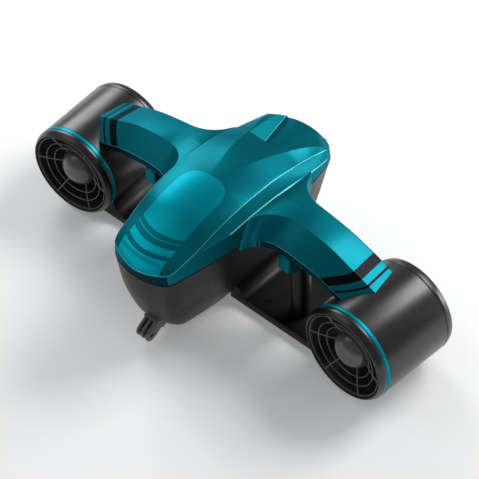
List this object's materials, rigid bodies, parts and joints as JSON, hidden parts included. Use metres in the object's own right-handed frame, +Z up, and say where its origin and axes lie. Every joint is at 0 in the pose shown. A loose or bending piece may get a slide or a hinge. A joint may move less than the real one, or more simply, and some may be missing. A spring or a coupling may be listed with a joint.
{
  "type": "underwater scooter",
  "caption": "Boat-shaped underwater scooter with a ducted thruster out on each side, upright grips with triggers between an arm above and a wing below, and a camera clamp under the nose.",
  "frame": {"origin": "centre of the bounding box's underside, on the flat keel that the hull stands on", "axes": "+X to the rider's right, +Y astern to the tail, +Z up, away from the keel"},
  "size_m": [0.4912, 0.2606, 0.1608],
  "materials": {
    "hull_teal": "metallic satin paint",
    "hull_black": "satin moulded",
    "duct_black": "satin moulded",
    "guard_black": "satin moulded",
    "ring_teal": "gloss",
    "trigger_teal": "satin gloss",
    "propeller_black": "glass-filled nylon",
    "steel": "stainless",
    "bearing_steel": "ground",
    "copper": "enamelled copper wire",
    "cells": "shrink-wrapped cells",
    "circuit_board": "solder mask",
    "switch_case": "satin moulded",
    "rubber": "matt"
  },
  "bodies": {
    "scooter_body": {"top_cover": "hull_teal", "lower_hull": "hull_black", "hull_seal": "rubber", "battery_pack": "cells", "controller_board": "circuit_board", "charge_plug": "rubber", "camera_mount": "hull_black", "right_arm_cover": "hull_teal", "right_arm_floor": "hull_black", "right_wing_grip": "hull_black", "right_inner_wing_screw": "steel", "right_outer_wing_screw": "steel", "right_trigger_pin": "steel", "right_trigger_spring": "steel", "right_trigger_switch": "switch_case", "right_motor_cable": "rubber", "right_front_bezel": "duct_black", "right_accent_ring": "ring_teal", "right_duct_shell": "duct_black", "right_rear_nozzle": "duct_black", "right_front_guard": "guard_black", "right_motor_pod": "propeller_black", "right_motor_winding": "copper", "right_front_bearing": "bearing_steel", "right_rear_bearing": "bearing_steel", "right_shaft_seal": "rubber", "left_arm_cover": "hull_teal", "left_arm_floor": "hull_black", "left_wing_grip": "hull_black", "left_inner_wing_screw": "steel", "left_outer_wing_screw": "steel", "left_trigger_pin": "steel", "left_trigger_spring": "steel", "left_trigger_switch": "switch_case", "left_motor_cable": "rubber", "left_front_bezel": "duct_black", "left_accent_ring": "ring_teal", "left_duct_shell": "duct_black", "left_rear_nozzle": "duct_black", "left_front_guard": "guard_black", "left_motor_pod": "propeller_black", "left_motor_winding": "copper", "left_front_bearing": "bearing_steel", "left_rear_bearing": "bearing_steel", "left_shaft_seal": "rubber"},
    "right_rotor": {"right_propeller": "propeller_black", "right_propeller_nut": "steel", "right_rotor_shaft": "steel"},
    "right_trigger_lever": {"right_trigger": "trigger_teal"},
    "left_rotor": {"left_propeller": "propeller_black", "left_propeller_nut": "steel", "left_rotor_shaft": "steel"},
    "left_trigger_lever": {"left_trigger": "trigger_teal"},
    "button_cap": {"power_button": "rubber"}
  },
  "joints": [
    {"name": "right_propeller_spin", "type": "hinge", "parent": "scooter_body", "child": "right_rotor", "pos_m": [0.1877, -0.01525, 0.056], "axis": [0.0838, 0.9965, 0], "continuous": true},
    {"name": "left_propeller_spin", "type": "hinge", "parent": "scooter_body", "child": "left_rotor", "pos_m": [-0.1877, -0.01525, 0.056], "axis": [-0.0838, 0.9965, 0], "continuous": true},
    {"name": "right_trigger_pull", "type": "hinge", "parent": "scooter_body", "child": "right_trigger_lever", "pos_m": [0.09, -0.00025, 0.116], "axis": [1, 0, 0], "range_deg": [0, 10], "stiffness_Nm_per_rad": 0.4},
    {"name": "left_trigger_pull", "type": "hinge", "parent": "scooter_body", "child": "left_trigger_lever", "pos_m": [-0.09, -0.00025, 0.116], "axis": [1, 0, 0], "range_deg": [0, 10], "stiffness_Nm_per_rad": 0.4},
    {"name": "power_button_press", "type": "slide", "parent": "scooter_body", "child": "button_cap", "axis": [0, -1, 0], "range_m": [0, 0.0015], "stiffness_N_per_m": 800}
  ]
}
